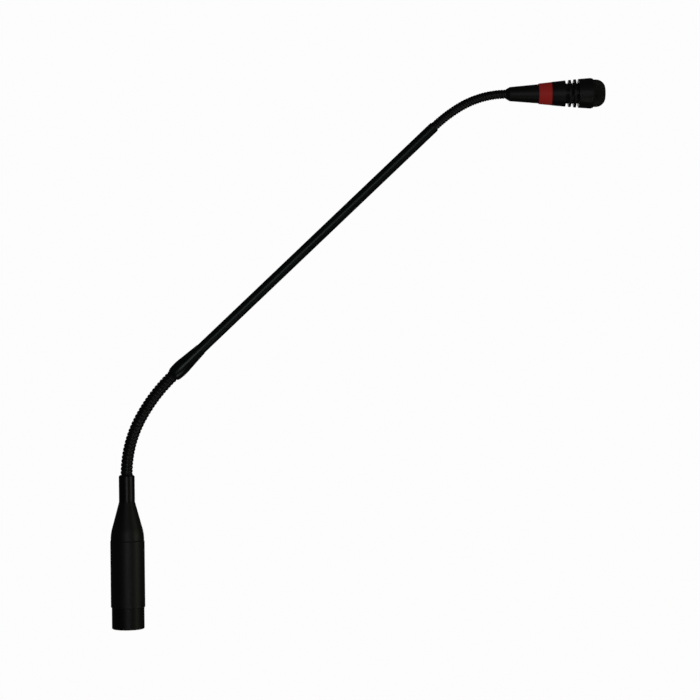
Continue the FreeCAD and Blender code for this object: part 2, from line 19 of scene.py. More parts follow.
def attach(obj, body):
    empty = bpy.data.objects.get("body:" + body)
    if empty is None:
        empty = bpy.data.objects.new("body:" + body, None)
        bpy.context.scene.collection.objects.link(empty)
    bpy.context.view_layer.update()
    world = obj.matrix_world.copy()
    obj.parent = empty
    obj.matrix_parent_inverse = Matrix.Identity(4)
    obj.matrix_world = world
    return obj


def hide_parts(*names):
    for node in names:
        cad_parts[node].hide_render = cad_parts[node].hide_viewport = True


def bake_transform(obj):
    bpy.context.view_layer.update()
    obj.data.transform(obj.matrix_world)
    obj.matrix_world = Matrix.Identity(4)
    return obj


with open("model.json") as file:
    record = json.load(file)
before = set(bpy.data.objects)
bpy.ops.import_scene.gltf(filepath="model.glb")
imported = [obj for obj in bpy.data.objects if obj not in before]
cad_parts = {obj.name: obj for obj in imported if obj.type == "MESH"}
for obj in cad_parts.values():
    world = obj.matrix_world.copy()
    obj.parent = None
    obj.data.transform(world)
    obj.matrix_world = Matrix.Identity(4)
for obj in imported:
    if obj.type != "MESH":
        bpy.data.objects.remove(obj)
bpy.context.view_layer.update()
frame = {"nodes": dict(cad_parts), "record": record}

MM = 0.001
FULL_TURN = 2 * math.pi
LOG = logging.getLogger("microphone")

# where each sub-assembly starts on the spine, in millimetres from the plug's mouth
BOARD_TOP = 45.5
LOWER_NECK_START = 90.0
STEM_START = 156.0
UPPER_NECK_START = 367.0
HEAD_START = 414.0
CAPSULE_BACK = 444.0
CABLE_RADIUS = 1.1

Point = tuple[float, float]
Arc = tuple[Point, Point]
Colour = tuple[float, float, float]


class Body(str, Enum):
    """The three long rigid bodies that pieces ride on."""

    BASE = "base"
    STEM = "stem"
    HEAD = "head"


class Grounding(str, Enum):
    """What a pattern is measured from: the piece's own straight shape, or the frame."""

    LOCAL = "local"
    FRAME = "frame"


# ------------------------------------------------------------------ shader graphs


class Signal:
    """An output socket that takes part in Python arithmetic."""

    def __init__(self, graph: "Graph", socket: bpy.types.NodeSocket) -> None:
        """Wraps one socket of one graph."""
        self.graph = graph
        self.socket = socket

    def _math(self, operation: str, first: "Signal | float", second: "Signal | float") -> "Signal":
        """Adds one Math node for two operands."""
        return self.graph.node("ShaderNodeMath", {"operation": operation}, {0: first, 1: second})

    def __add__(self, other: "Signal | float") -> "Signal":
        """self + other."""
        return self._math("ADD", self, other)

    def __radd__(self, other: float) -> "Signal":
        """other + self."""
        return self._math("ADD", other, self)

    def __sub__(self, other: "Signal | float") -> "Signal":
        """self - other."""
        return self._math("SUBTRACT", self, other)

    def __rsub__(self, other: float) -> "Signal":
        """other - self."""
        return self._math("SUBTRACT", other, self)

    def __mul__(self, other: "Signal | float") -> "Signal":
        """self * other."""
        return self._math("MULTIPLY", self, other)

    def __rmul__(self, other: float) -> "Signal":
        """other * self."""
        return self._math("MULTIPLY", other, self)

    def __pow__(self, other: float) -> "Signal":
        """self ** other."""
        return self._math("POWER", self, other)

    def step(self, low: float, high: float) -> "Signal":
        """A smooth step from 0 at low to 1 at high."""
        return self.graph.node(
            "ShaderNodeMapRange",
            {"interpolation_type": "SMOOTHSTEP"},
            {"Value": self, "From Min": low, "From Max": high},
        )

    def axis(self, index: int) -> "Signal":
        """One component of a vector: 0 for X, 1 for Y, 2 for Z."""
        return self.graph.node("ShaderNodeSeparateXYZ", {}, {0: self}, index)


class Graph:
    """The node graph of one material, with its Principled shader and output in place."""

    def __init__(self, name: str, grounding: Grounding) -> None:
        """Starts a material's graph.

        Args:
            name: The material's name.
            grounding: What its patterns are measured from.
        """
        self.material = bpy.data.materials.new(name)
        self.material.use_nodes = True
        self.tree = self.material.node_tree
        self.tree.nodes.clear()
        self.shader = self.tree.nodes.new("ShaderNodeBsdfPrincipled")
        output = self.tree.nodes.new("ShaderNodeOutputMaterial")
        self.tree.links.new(self.shader.outputs[0], output.inputs[0])
        self.grounding = grounding

    def node(
        self,
        kind: str,
        settings: dict[str, object] | None = None,
        sockets: dict[int | str, object] | None = None,
        output: int = 0,
    ) -> Signal:
        """Adds a node.

        Args:
            kind: The node's type.
            settings: Its properties, set before anything else.
            sockets: Values or signals for its inputs.
            output: Which of its outputs to return.

        Returns:
            The chosen output.
        """
        made = self.tree.nodes.new(kind)
        for key, value in (settings or {}).items():
            setattr(made, key, value)
        for key, value in (sockets or {}).items():
            self._feed(made.inputs[key], value)
        return Signal(self, made.outputs[output])

    def _feed(self, socket: bpy.types.NodeSocket, value: object) -> None:
        """Links a signal to a socket, or sets a plain value on it."""
        if isinstance(value, Signal):
            self.tree.links.new(value.socket, socket)
        else:
            socket.default_value = value

    def set(self, **sockets: object) -> None:
        """Feeds the Principled shader's own sockets, named with underscores for spaces."""
        for key, value in sockets.items():
            self._feed(self.shader.inputs[key.replace("_", " ")], value)

    def place(self) -> Signal:
        """Position in millimetres, along the piece's own straight shape or in the frame."""
        if self.grounding is Grounding.LOCAL:
            return self.node("ShaderNodeAttribute", {"attribute_name": "local"}, {}, 1)
        spot = self.node("ShaderNodeTexCoord", {}, {}, 3)
        return self.node("ShaderNodeMapping", {}, {0: spot, "Scale": (1000.0, 1000.0, 1000.0)})

    def stretched(self, spot: Signal, scale: Colour) -> Signal:
        """The same position, scaled differently along each axis."""
        return self.node("ShaderNodeMapping", {}, {0: spot, "Scale": scale})

    def noise(self, spot: Signal, scale: float, detail: float = 2.0, rough: float = 0.5) -> Signal:
        """Soft noise from 0 to 1, scale cells to the millimetre."""
        return self.node(
            "ShaderNodeTexNoise",
            {"noise_dimensions": "3D"},
            {"Vector": spot, "Scale": scale, "Detail": detail, "Roughness": rough},
        )

    def blend(self, share: "Signal | float", first: "Signal | Colour", second: "Signal | Colour") -> Signal:
        """Mixes two colours.

        Args:
            share: 0 for the first colour, 1 for the second.
            first: A colour or a colour signal.
            second: A colour or a colour signal.

        Returns:
            The mixed colour.
        """
        def filled(colour: "Signal | Colour") -> object:
            """A plain colour with its alpha."""
            return colour if isinstance(colour, Signal) else (*colour, 1.0)

        return self.node(
            "ShaderNodeMix", {"data_type": "RGBA"}, {0: share, 6: filled(first), 7: filled(second)}, 2
        )

    def bump(self, height: Signal, distance: float, strength: float = 1.0) -> Signal:
        """A normal from a height signal, whose full swing is distance in millimetres."""
        return self.node(
            "ShaderNodeBump", {}, {"Height": height, "Distance": distance * MM, "Strength": strength}
        )

    def wear(self, spot: Signal) -> Signal:
        """Where edges are rubbed: the bevelled edges, broken up by noise."""
        edge = self.node("ShaderNodeAttribute", {"attribute_name": "wear"}, {}, 2)
        return edge * self.noise(spot, 0.8, 3.0, 0.6).step(0.5, 0.72)


# ------------------------------------------------------------------ finishes


@dataclass(frozen=True)
class Finish:
    """A material that can be made for new pieces and for carried-over ones."""

    name: str
    colour: Colour
    roughness: float = 0.5

    def dress(self, graph: Graph) -> None:
        """Sets the plain values that every finish shares."""
        graph.set(Base_Color=(*self.colour, 1.0), Roughness=self.roughness)

    def material(self, grounding: Grounding) -> bpy.types.Material:
        """The finish's material, made once for each grounding.

        Args:
            grounding: What its patterns are measured from.

        Returns:
            The Blender material.
        """
        name = f"{self.name}_{grounding.value}"
        if name not in bpy.data.materials:
            graph = Graph(name, grounding)
            self.dress(graph)
        return bpy.data.materials[name]


@dataclass(frozen=True)
class Coating(Finish):
    """A thin dark coat on metal: fine grain, faint clouding, and bare metal on rubbed edges."""

    grain: float = 6.0
    relief: float = 0.012
    metallic: float = 0.0
    specular: float = 0.5
    coat: float = 0.0
    bare: Colour = (0.16, 0.15, 0.14)
    tint: Colour = (1.0, 1.0, 1.0)

    def dress(self, graph: Graph) -> None:
        """Builds the coat."""
        spot = graph.place()
        cloud = graph.noise(spot, 0.12, 3.0, 0.6)
        grain = graph.noise(spot, self.grain, 2.0, 0.6)
        worn = graph.wear(spot)
        light = tuple(min(1.0, part * 1.35 + 0.0006) for part in self.colour)
        coat = graph.blend(cloud.step(0.3, 0.75), self.colour, light)
        speck = graph.noise(spot, self.grain * 0.6, 4.0, 0.7).step(0.66, 0.78)
        coat = graph.blend(speck * 0.5, coat, tuple(min(1.0, part * 2.4) for part in self.colour))
        graph.set(
            Base_Color=graph.blend(worn * 0.55, coat, self.bare),
            Metallic=worn * 0.7 + self.metallic,
            Roughness=self.roughness + (cloud - 0.5) * 0.10 + (grain - 0.5) * 0.08 - worn * 0.08,
            Normal=graph.bump(grain, self.relief),
            Coat_Weight=self.coat,
            Coat_Roughness=0.22,
            Specular_IOR_Level=self.specular,
            Specular_Tint=(*self.tint, 1.0),
        )


@dataclass(frozen=True)
class TurnedMetal(Finish):
    """Bare or plated metal with fine lines from the lathe."""

    lines: float = 14.0
    tarnish: Colour = (0.3, 0.2, 0.1)

    def dress(self, graph: Graph) -> None:
        """Builds the metal."""
        spot = graph.place()
        rings = graph.noise(graph.stretched(spot, (0.15, 0.15, 1.0)), self.lines, 3.0, 0.6)
        stain = graph.noise(spot, 0.45, 4.0, 0.6).step(0.5, 0.85)
        graph.set(
            Base_Color=graph.blend(stain * 0.45, self.colour, self.tarnish),
            Metallic=1.0,
            Roughness=self.roughness + (rings - 0.5) * 0.16 + stain * 0.12,
            Normal=graph.bump(rings, 0.006),
        )


@dataclass(frozen=True)
class Wire(Finish):
    """Blackened spring wire: drawn lines, oily clouding, painted shade that darkens it towards the valleys
    between turns, and crests painted lighter, partly as rubbed wear and partly as a painted highlight.
    """

    crest: float = 3.6

    def dress(self, graph: Graph) -> None:
        """Builds the wire."""
        spot = graph.place()
        x, y = spot.axis(0), spot.axis(1)
        reach = (x * x + y * y) ** 0.5
        # crest mask: rubbed wear in the roughness, and a painted highlight in the colour
        rubbed = reach.step(self.crest - 0.22, self.crest - 0.02)
        cloud = graph.noise(spot, 0.35, 3.0, 0.6)
        drawn = graph.noise(graph.stretched(spot, (1.0, 1.0, 9.0)), 3.0, 3.0, 0.6)
        # painted shade: the wire is painted darker towards its inner edges, in the valleys between its turns
        dark = tuple(part * 0.45 for part in self.colour)
        valley_shaded_tone = graph.blend(reach.step(self.crest - 1.0, self.crest - 0.25), dark, self.colour)
        # the outermost crests are painted lighter: partly rubbed wear, partly a painted highlight
        crest_wear_and_sheen = tuple(min(1.0, part * 2.0 + 0.004) for part in self.colour)
        graph.set(
            Base_Color=graph.blend(rubbed * cloud.step(0.35, 0.8) * 0.7, valley_shaded_tone, crest_wear_and_sheen),
            Metallic=0.25,
            Roughness=self.roughness - rubbed * 0.07 + (cloud - 0.5) * 0.14,
            Normal=graph.bump(drawn, 0.006),
        )


@dataclass(frozen=True)
class Moulded(Finish):
    """Moulded plastic, rubber or cable jacket, with a fine matt texture."""

    grain: float = 5.0
    relief: float = 0.02
    coat: float = 0.0

    def dress(self, graph: Graph) -> None:
        """Builds the moulding."""
        spot = graph.place()
        grain = graph.noise(spot, self.grain, 3.0, 0.6)
        dust = graph.noise(spot, 0.3, 4.0, 0.6).step(0.5, 0.9)
        pale = tuple(min(1.0, part * 1.5 + 0.004) for part in self.colour)
        graph.set(
            Base_Color=graph.blend(dust * 0.5, self.colour, pale),
            Roughness=self.roughness + (grain - 0.5) * 0.12 + dust * 0.08,
            Normal=graph.bump(grain, self.relief),
            Coat_Weight=self.coat,
            Coat_Roughness=0.15,
        )


@dataclass(frozen=True)
class RedLens(Finish):
    """Frosted deep red plastic, painted lighter in a band between its ends as painted light from the lamps
    inside, and given a faint painted glow.
    """

    deep: Colour = (0.42, 0.020, 0.018)
    low: float = 19.1
    high: float = 26.8

    def dress(self, graph: Graph) -> None:
        """Builds the lens."""
        spot = graph.place()
        along = spot.axis(2)
        # painted light: the ring is painted lighter in a band between its ends, as if lit by the lamps inside
        edge = along.step(self.low, self.low + 0.9) * (1.0 - along.step(self.high - 0.9, self.high))
        painted_light_unevenness = graph.noise(spot, 0.25, 2.0, 0.5)
        grain = graph.noise(spot, 9.0, 2.0, 0.5)
        body = graph.blend(edge * (0.75 + painted_light_unevenness * 0.3), self.deep, self.colour)
        graph.set(
            Base_Color=body,
            Roughness=self.roughness + (grain - 0.5) * 0.08,
            Normal=graph.bump(grain, 0.004),
            # a faint painted glow that brightens the whole ring evenly
            Emission_Color=(0.55, 0.035, 0.03, 1.0),
            Emission_Strength=0.12,
            Specular_IOR_Level=0.2,
            IOR=1.49,
        )


@dataclass(frozen=True)
class Cloth(Finish):
    """Fine woven acoustic cloth, its raised threads painted lighter as a painted highlight."""

    threads: float = 2.6

    def dress(self, graph: Graph) -> None:
        """Builds the weave."""
        spot = graph.place()
        waves = [
            graph.node(
                "ShaderNodeTexWave",
                {"wave_type": "BANDS", "bands_direction": direction, "wave_profile": "SIN"},
                {"Vector": spot, "Scale": self.threads, "Distortion": 0.4, "Detail": 1.0},
                1,
            )
            for direction in ("Z", "DIAGONAL")
        ]
        weave = waves[0] * 0.5 + waves[1] * 0.5
        fuzz = graph.noise(spot, 8.0, 3.0, 0.7)
        # painted highlight: the raised threads are painted lighter where the weave stands up
        lit = tuple(part * 2.2 for part in self.colour)
        graph.set(
            Base_Color=graph.blend(weave * fuzz, self.colour, lit),
            Roughness=0.9 - fuzz * 0.1,
            Normal=graph.bump(weave, 0.08),
            Sheen_Weight=0.25,
        )


@dataclass(frozen=True)
class Foam(Finish):
    """Open-cell foam: small pores, dented and painted dark as painted shade, in a matt black body."""

    cells: float = 1.6

    def dress(self, graph: Graph) -> None:
        """Builds the foam."""
        spot = graph.place()
        cell = graph.node(
            "ShaderNodeTexVoronoi", {"feature": "F1"}, {"Vector": spot, "Scale": self.cells}
        )
        pore_dent_and_shade = 1.0 - cell.step(0.15, 0.5)
        fuzz = graph.noise(spot, 5.0, 3.0, 0.7)
        # painted shade: the pores are painted darker, as shade inside the holes
        black = tuple(part * 0.3 for part in self.colour)
        graph.set(
            Base_Color=graph.blend(pore_dent_and_shade, self.colour, black),
            Roughness=0.95 - fuzz * 0.08,
            Normal=graph.bump(fuzz * 0.4 - pore_dent_and_shade, 0.25),
        )


@dataclass(frozen=True)
class Laminate(Finish):
    """Circuit board: solder mask over copper tracks, with bare pads."""

    copper: Colour = (0.55, 0.36, 0.12)

    def dress(self, graph: Graph) -> None:
        """Builds the board."""
        spot = graph.place()
        tracks = graph.node(
            "ShaderNodeTexBrick",
            {"offset": 0.35, "squash": 1.0},
            {"Vector": spot, "Scale": 0.8, "Mortar Size": 0.09, "Mortar Smooth": 0.2},
            1,
        )
        pads = graph.node("ShaderNodeTexVoronoi", {"feature": "F1"}, {"Vector": spot, "Scale": 0.55})
        pad = 1.0 - pads.step(0.16, 0.2)
        lit = tuple(min(1.0, part * 1.9) for part in self.colour)
        graph.set(
            Base_Color=graph.blend(pad, graph.blend(tracks, self.colour, lit), self.copper),
            Metallic=pad,
            Roughness=self.roughness - pad * 0.1,
            Normal=graph.bump(tracks + pad, 0.03),
        )


class Palette:
    """Every finish of the microphone, by the record's slot it stands for."""

    PLUG = Coating("plug_plate", (0.0085, 0.0085, 0.0070), 0.44, 8.0, 0.004, 0.3, 0.5)
    HANDLE = Coating("handle_coat", (0.0070, 0.0070, 0.0052), 0.47, 5.0, 0.010, 0.0, 0.48)
    FERRULE = Coating(
        "ferrule_plate", (0.013, 0.012, 0.014), 0.33, 9.0, 0.003, 0.45, 0.55, tint=(0.93, 0.93, 1.0)
    )
    SLEEVE = Coating(
        "sleeve_plate", (0.013, 0.014, 0.013), 0.31, 9.0, 0.003, 0.45, 0.6, tint=(0.85, 1.0, 0.98)
    )
    STEM = Coating(
        "stem_plate", (0.011, 0.013, 0.012), 0.38, 9.0, 0.003, 0.40, 0.6, tint=(0.82, 1.0, 0.97)
    )
    HEAD = Coating("head_coat", (0.0085, 0.0085, 0.0072), 0.50, 6.0, 0.008, 0.0, 0.42)
    GRILLE = Coating("grille_coat", (0.024, 0.024, 0.021), 0.55, 8.0, 0.004, 0.0, 0.5)
    LOWER_WIRE = Wire("lower_wire", (0.013, 0.013, 0.014), 0.40, 3.6)
    UPPER_WIRE = Wire("upper_wire", (0.013, 0.013, 0.013), 0.40, 2.7)
    RING = RedLens("ring_red", (0.72, 0.040, 0.036), 0.5)
    CLOTH = Cloth("acoustic_cloth", (0.006, 0.006, 0.006), 0.9)
    FOAM = Foam("windscreen_foam", (0.014, 0.014, 0.013), 0.95)
    CABLE = Moulded("cable_jacket", (0.012, 0.012, 0.012), 0.55, 6.0, 0.02)
    INSULATOR = Moulded("insulator", (0.012, 0.012, 0.013), 0.48, 5.0, 0.015)
    RUBBER = Moulded("boot_rubber", (0.016, 0.016, 0.016), 0.72, 4.0, 0.03)
    EPOXY = Moulded("chip_epoxy", (0.014, 0.014, 0.015), 0.55, 7.0, 0.02)
    CERAMIC = Moulded("resistor_glaze", (0.05, 0.05, 0.055), 0.3, 6.0, 0.01, 0.4)
    LEAD = Moulded("lead_jacket", (0.30, 0.035, 0.03), 0.45, 6.0, 0.01)
    LAMP = Moulded("lamp_body", (0.78, 0.73, 0.58), 0.25, 4.0, 0.01, 0.6)
    CAN = Moulded("capacitor_sleeve", (0.03, 0.03, 0.06), 0.32, 5.0, 0.01, 0.4)
    BOARD = Laminate("board_laminate", (0.012, 0.12, 0.045), 0.35)
    GOLD = TurnedMetal("contact_gold", (0.80, 0.55, 0.20), 0.22, 16.0, (0.45, 0.26, 0.08))
    SCREW = TurnedMetal("screw_steel", (0.05, 0.05, 0.053), 0.34, 10.0, (0.02, 0.018, 0.016))
    BRASS = TurnedMetal("bush_brass", (0.68, 0.47, 0.20), 0.30, 10.0, (0.30, 0.18, 0.07))
    CAPSULE = TurnedMetal("capsule_metal", (0.62, 0.62, 0.63), 0.32, 12.0, (0.40, 0.39, 0.37))


# ------------------------------------------------------------------ shaping


@dataclass(frozen=True)
class Spine:
    """The plane line that every piece lies on, as runs of (length in mm, turn in degrees)."""

    runs: tuple[Point, ...] = (
        (90.0, 0.0), (34.5, 29.0), (31.5, 18.0), (211.0, 0.0), (18.0, 12.0), (29.0, 31.0), (200.0, 0.0),
    )

    def at(self, station: float) -> Matrix:
        """The spine's frame at a station.

        Args:
            station: Distance along the spine in millimetres.

        Returns:
            A matrix in metres whose Z runs along the spine and whose X stays in its plane.
        """
        x = z = turn = 0.0
        left = station
        for length, degrees in self.runs:
            step = min(left, length)
            bend = math.radians(degrees) * step / length
            chord = step if abs(bend) < 1e-9 else 2 * step / bend * math.sin(bend / 2)
            x += chord * math.sin(turn + bend / 2)
            z += chord * math.cos(turn + bend / 2)
            turn += bend
            left -= step
            if left <= 0:
                break
        return Matrix.Translation((x * MM, 0, z * MM)) @ Matrix.Rotation(turn, 4, "Y")

    def point(self, station: float) -> Vector:
        """The spine's point at a station, in metres."""
        return self.at(station).translation


SPINE = Spine()


def arc_points(start: Point, via: Point, end: Point, count: int) -> list[Point]:
    """Points on the arc through three points, without its start.

    Args:
        start: First point as (radius, height).
        via: A point the arc passes through.
        end: Last point.
        count: How many points to return.

    Returns:
        The points in order, the end included.
    """
    (ax, ay), (bx, by), (cx, cy) = start, via, end
    area = 2 * (ax * (by - cy) + bx * (cy - ay) + cx * (ay - by))
    aa, bb, cc = ax * ax + ay * ay, bx * bx + by * by, cx * cx + cy * cy
    ox = (aa * (by - cy) + bb * (cy - ay) + cc * (ay - by)) / area
    oy = (aa * (cx - bx) + bb * (ax - cx) + cc * (bx - ax)) / area
    radius = math.hypot(ax - ox, ay - oy)
    first = math.atan2(ay - oy, ax - ox)
    last = math.atan2(cy - oy, cx - ox)
    sweep = (last - first + math.pi) % (2 * math.pi) - math.pi
    return [
        (ox + radius * math.cos(first + sweep * k / count), oy + radius * math.sin(first + sweep * k / count))
        for k in range(1, count + 1)
    ]


def outline(*items: Point | Arc, steps: int = 10) -> list[Point]:
    """A turned outline with its arcs sampled.

    Args:
        items: (radius, height) points, or (via, end) pairs for arcs.
        steps: Points on each arc.

    Returns:
        Plain (radius, height) points.
    """
    points: list[Point] = []
    for item in items:
        if isinstance(item[0], tuple):
            points += arc_points(points[-1], item[0], item[1], steps)
        else:
            points.append(item)
    return points


class Blank:
    """A mesh being shaped in millimetres along its own +Z."""

    def __init__(self) -> None:
        """Starts an empty mesh with its wear layer."""
        self.bm = bmesh.new()
        self.wear = self.bm.faces.layers.float.new("wear")

    def lathe(self, points: Sequence[Point], segments: int = 96) -> None:
        """Turns an outline about Z. It is closed on itself unless both its ends are on the axis.

        Args:
            points: (radius, height) points.
            segments: Steps in a full turn.
        """
        on_axis = points[0][0] < 1e-9 and points[-1][0] < 1e-9
        verts = [self.bm.verts.new((radius, 0.0, height)) for radius, height in points]
        pairs = list(zip(verts, verts[1:])) + ([] if on_axis else [(verts[-1], verts[0])])
        edges = [self.bm.edges.new(pair) for pair in pairs]
        bmesh.ops.spin(
            self.bm, geom=verts + edges, cent=(0, 0, 0), axis=(0, 0, 1), dvec=(0, 0, 0),
            angle=FULL_TURN, steps=segments, use_merge=True,
        )
        bmesh.ops.remove_doubles(self.bm, verts=self.bm.verts, dist=1e-5)
        bmesh.ops.recalc_face_normals(self.bm, faces=self.bm.faces)

    def sweep(self, ring: list[bmesh.types.BMVert], turn: float, rise: float, steps: int) -> None:
        """Carries a closed ring of vertices along a screw line about Z and caps both its ends.

        Args:
            ring: The ring's vertices, already joined by edges.
            turn: The whole angle in radians.
            rise: The whole distance along Z.
            steps: How many steps to take.
        """
        edges = list({edge for vert in ring for edge in vert.link_edges})
        made = bmesh.ops.spin(
            self.bm, geom=ring + edges, cent=(0, 0, 0), axis=(0, 0, 1), dvec=(0, 0, rise / steps),
            angle=turn, steps=steps, use_merge=False,
        )
        last = [item for item in made["geom_last"] if isinstance(item, bmesh.types.BMEdge)]
        bmesh.ops.edgeloop_fill(self.bm, edges=edges)
        bmesh.ops.edgeloop_fill(self.bm, edges=last)
        bmesh.ops.recalc_face_normals(self.bm, faces=self.bm.faces)

    def ring(self, points: Sequence[Point], rounding: float) -> list[bmesh.types.BMVert]:
        """A closed ring in the plane of the axis, with its corners rounded.

        Args:
            points: (radius, height) corners.
            rounding: How far the rounding reaches from each corner.

        Returns:
            The ring's vertices.
        """
        verts = [self.bm.verts.new((radius, 0.0, height)) for radius, height in points]
        for first, second in zip(verts, verts[1:] + verts[:1]):
            self.bm.edges.new((first, second))
        made = bmesh.ops.bevel(
            self.bm, geom=verts, offset=rounding, offset_type="OFFSET", affect="VERTICES",
            segments=3, profile=0.5, material=-1,
        )
        return list({vert for vert in made["verts"] if vert.is_valid})

    def disc(self, radius: float, centre: Vector, segments: int, upright: bool) -> list[bmesh.types.BMVert]:
        """A round ring, level about the axis or upright in the axis's plane.

        Args:
            radius: The ring's radius.
            centre: Its centre.
            segments: Its corners.
            upright: Whether it stands in the XZ plane.

        Returns:
            The ring's vertices.
        """
        stand = Matrix.Rotation(math.pi / 2, 4, "X") if upright else Matrix.Identity(4)
        made = bmesh.ops.create_circle(
            self.bm, cap_ends=False, segments=segments, radius=radius,
            matrix=Matrix.Translation(centre) @ stand,
        )
        return made["verts"]

    def windows(self, radii: Point, heights: Point, centres: Iterable[float], half: float) -> None:
        """Cuts windows through a turned wall, where its rings already have points at their ends.

        Args:
            radii: The wall's inner and outer radius.
            heights: The windows' lower and upper ends.
            centres: Their middle angles in degrees.
            half: Half their width in degrees.
        """
        for centre in centres:
            doomed = []
            for face in self.bm.faces:
                spot = face.calc_center_median()
                reach = math.hypot(spot.x, spot.y)
                near = min(abs(reach - radius) for radius in radii) < 0.05
                swing = (math.degrees(math.atan2(spot.y, spot.x)) - centre + 180.0) % 360.0 - 180.0
                if near and heights[0] < spot.z < heights[1] and abs(swing) < half:
                    doomed.append(face)
            rims = [edge for face in doomed for edge in face.edges]
            rims = list({edge for edge in rims if sum(face in doomed for face in edge.link_faces) == 1})
            bmesh.ops.delete(self.bm, geom=doomed, context="FACES_ONLY")
            inner = {edge for edge in self.bm.edges if edge.is_wire}
            bmesh.ops.delete(self.bm, geom=list(inner), context="EDGES")
            bmesh.ops.bridge_loops(self.bm, edges=[edge for edge in rims if edge.is_valid])
        bmesh.ops.recalc_face_normals(self.bm, faces=self.bm.faces)

    def soften(self, width: float, sharper: float = 24.0, segments: int = 3) -> None:
        """Rounds every edge that turns sharply, and marks the rounds as worn.

        Args:
            width: How far the round reaches from the edge.
            sharper: Least turn in degrees of an edge that is rounded.
            segments: Steps across the round.
        """
        limit = math.radians(sharper)
        edges = [edge for edge in self.bm.edges if edge.is_manifold and edge.calc_face_angle() > limit]
        made = bmesh.ops.bevel(
            self.bm, geom=edges, offset=width, offset_type="OFFSET", affect="EDGES",
            segments=segments, profile=0.5, clamp_overlap=True, material=-1,
        )
        for face in made["faces"]:
            face[self.wear] = 1.0

    def finish(
        self,
        name: str,
        finish: Finish,
        place: Callable[[Vector], Vector],
        weighted: bool = True,
    ) -> bpy.types.Object:
        """Lays the mesh in its place and makes its object.

        Args:
            name: The piece's name.
            finish: Its finish.
            place: Turns a point in millimetres into its place in metres.
            weighted: Whether its wide faces keep their flatness beside small rounds.

        Returns:
            The finished object, at the origin.
        """
        local = self.bm.verts.layers.float_vector.new("local")
        for vert in self.bm.verts:
            vert[local] = vert.co
            vert.co = place(vert.co)
        for face in self.bm.faces:
            face.smooth = True
        mesh = bpy.data.meshes.new(name)
        self.bm.to_mesh(mesh)
        self.bm.free()
        mesh.set_sharp_from_angle(angle=math.radians(38))
        mesh.materials.append(finish.material(Grounding.LOCAL))
        piece = bpy.data.objects.new(name, mesh)
        bpy.context.scene.collection.objects.link(piece)
        if weighted:
            steady = piece.modifiers.new("flat_faces", "WEIGHTED_NORMAL")
            steady.keep_sharp = True
        LOG.info("%s: %d faces", name, len(mesh.polygons))
        return piece


def rigid(station: float) -> Callable[[Vector], Vector]:
    """A placing that keeps a piece straight, with its zero at a station."""
    matrix = SPINE.at(station) @ Matrix.Scale(MM, 4)
    return lambda point: matrix @ point


def along(station: float) -> Callable[[Vector], Vector]:
    """A placing that bends a piece along the spine, with its zero at a station."""
    return lambda point: SPINE.at(station + point.z) @ Vector((point.x * MM, point.y * MM, 0.0))


@dataclass(frozen=True)
class Turning:
    """One turned piece: its outline, its finish and the node it stands for."""

    name: str
    node: str
    slot: str
    finish: Finish
    points: Sequence[Point]
    station: float
    body: Body
    round_off: float = 0.12

    def make(self) -> bpy.types.Object:
        blank = Blank()
        blank.lathe(self.points)
        blank.soften(self.round_off)
        return self.declare(blank)

    def declare(self, blank: Blank) -> bpy.types.Object:
        """Places a shaped blank and ties it to its body and its node.

        Args:
            blank: The shaped mesh.

        Returns:
            The finished piece.
        """
        piece = blank.finish(self.name, self.finish, rigid(self.station))
        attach(piece, self.body.value)
        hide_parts(self.node)
        return piece


def repaint(finish: Finish, *nodes: str) -> None:
    """Gives carried-over nodes a finish.

    Args:
        finish: The finish.
        nodes: The nodes' names.
    """
    for name in nodes:
        for slot in frame["nodes"][name].material_slots:
            slot.material = finish.material(Grounding.FRAME)
        LOG.info("%s: carried over in %s", name, finish.name)


# ------------------------------------------------------------------ plug and handle


@dataclass
class PlugEnd:
    """The plug's mouth, insert, contacts and screw, and the amplifier board behind them.

    All of them are carried over.
    """

    def build(self) -> None:
        """Dresses the carried-over pieces."""
        repaint(Palette.PLUG, "plug_shell")
        repaint(Palette.INSULATOR, "contact_insert")
        repaint(Palette.GOLD, "contact_pins")
        repaint(Palette.SCREW, "insert_screw")
        repaint(Palette.BOARD, "preamp_board")
        repaint(Palette.CAN, "board_capacitors")
        repaint(Palette.EPOXY, "preamp_chip")
        repaint(Palette.CERAMIC, "board_resistors")
        repaint(Palette.LEAD, "plug_leads")


